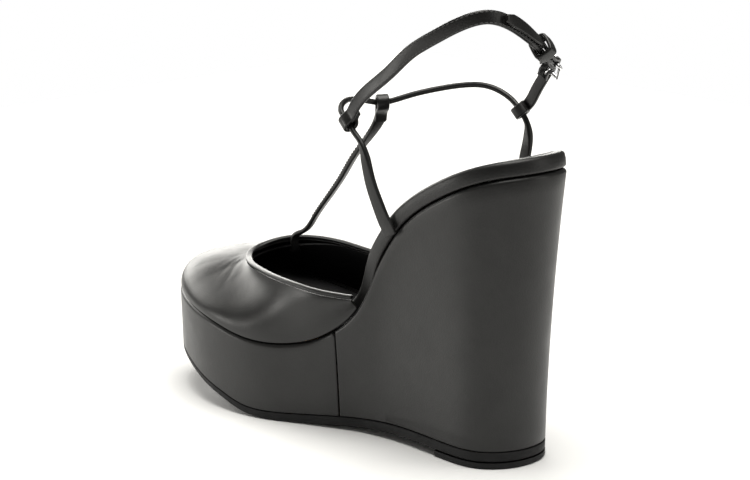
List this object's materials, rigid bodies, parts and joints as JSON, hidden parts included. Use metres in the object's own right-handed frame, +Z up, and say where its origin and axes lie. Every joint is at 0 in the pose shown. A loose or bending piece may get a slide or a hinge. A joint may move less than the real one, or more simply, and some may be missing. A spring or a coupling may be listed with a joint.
{
  "type": "wedge sandal",
  "caption": "Right-foot wedge sandal with a closed toe, open waist, T-strap and buckled ankle strap over a covered wedge and platform.",
  "frame": {"origin": "on the ground, under the middle of the sandal's overall box", "axes": "+Z up, toe towards -Y, inner side of the right foot towards +X"},
  "size_m": [0.0812, 0.2184, 0.1904],
  "materials": {
    "leather": "smooth black leather, soft sheen",
    "lining": "matte black lining leather",
    "rubber": "matte charcoal sole rubber",
    "core": "pressed cork and wood block, hidden",
    "board": "stiff fibre board, hidden",
    "foam": "soft foam, hidden",
    "steel": "plain steel, hidden",
    "silver": "polished bright silver plate"
  },
  "bodies": {
    "shoe": {"outsole": "rubber", "heel_toplift": "rubber", "wedge_cover": "leather", "platform_cover": "leather", "platform_core": "core", "wedge_core": "core", "heel_screw": "steel", "heel_nail_1": "steel", "heel_nail_2": "steel", "heel_nail_3": "steel", "heel_nail_4": "steel", "insole_board": "board", "shank": "steel", "footbed_rim": "leather", "footbed_cushion": "foam", "sock_lining": "lining", "vamp_upper": "leather", "vamp_lining": "lining", "toe_puff": "board", "topline_binding": "leather", "instep_cord": "leather", "t_strap": "leather"},
    "collar": {"ankle_strap": "leather", "buckle_strap": "leather", "buckle_frame": "silver"},
    "prong": {"buckle_prong": "silver"},
    "keeper": {"keeper_loop": "leather"}
  },
  "joints": [
    {"name": "collar_rock", "type": "hinge", "parent": "shoe", "child": "collar", "pos_m": [0.03017, 0.02369, 0.1376], "axis": [-0.8503, 0.5257, 0.0245], "range_deg": [-4, 4]},
    {"name": "prong_lift", "type": "hinge", "parent": "collar", "child": "prong", "pos_m": [-0.02854, 0.08195, 0.15924], "axis": [0.1783, -0.7771, 0.6036], "range_deg": [0, 45]},
    {"name": "keeper_slide", "type": "slide", "parent": "collar", "child": "keeper", "axis": [-0.8419, -0.2004, -0.5011], "range_m": [-0.001, 0.0012]}
  ]
}
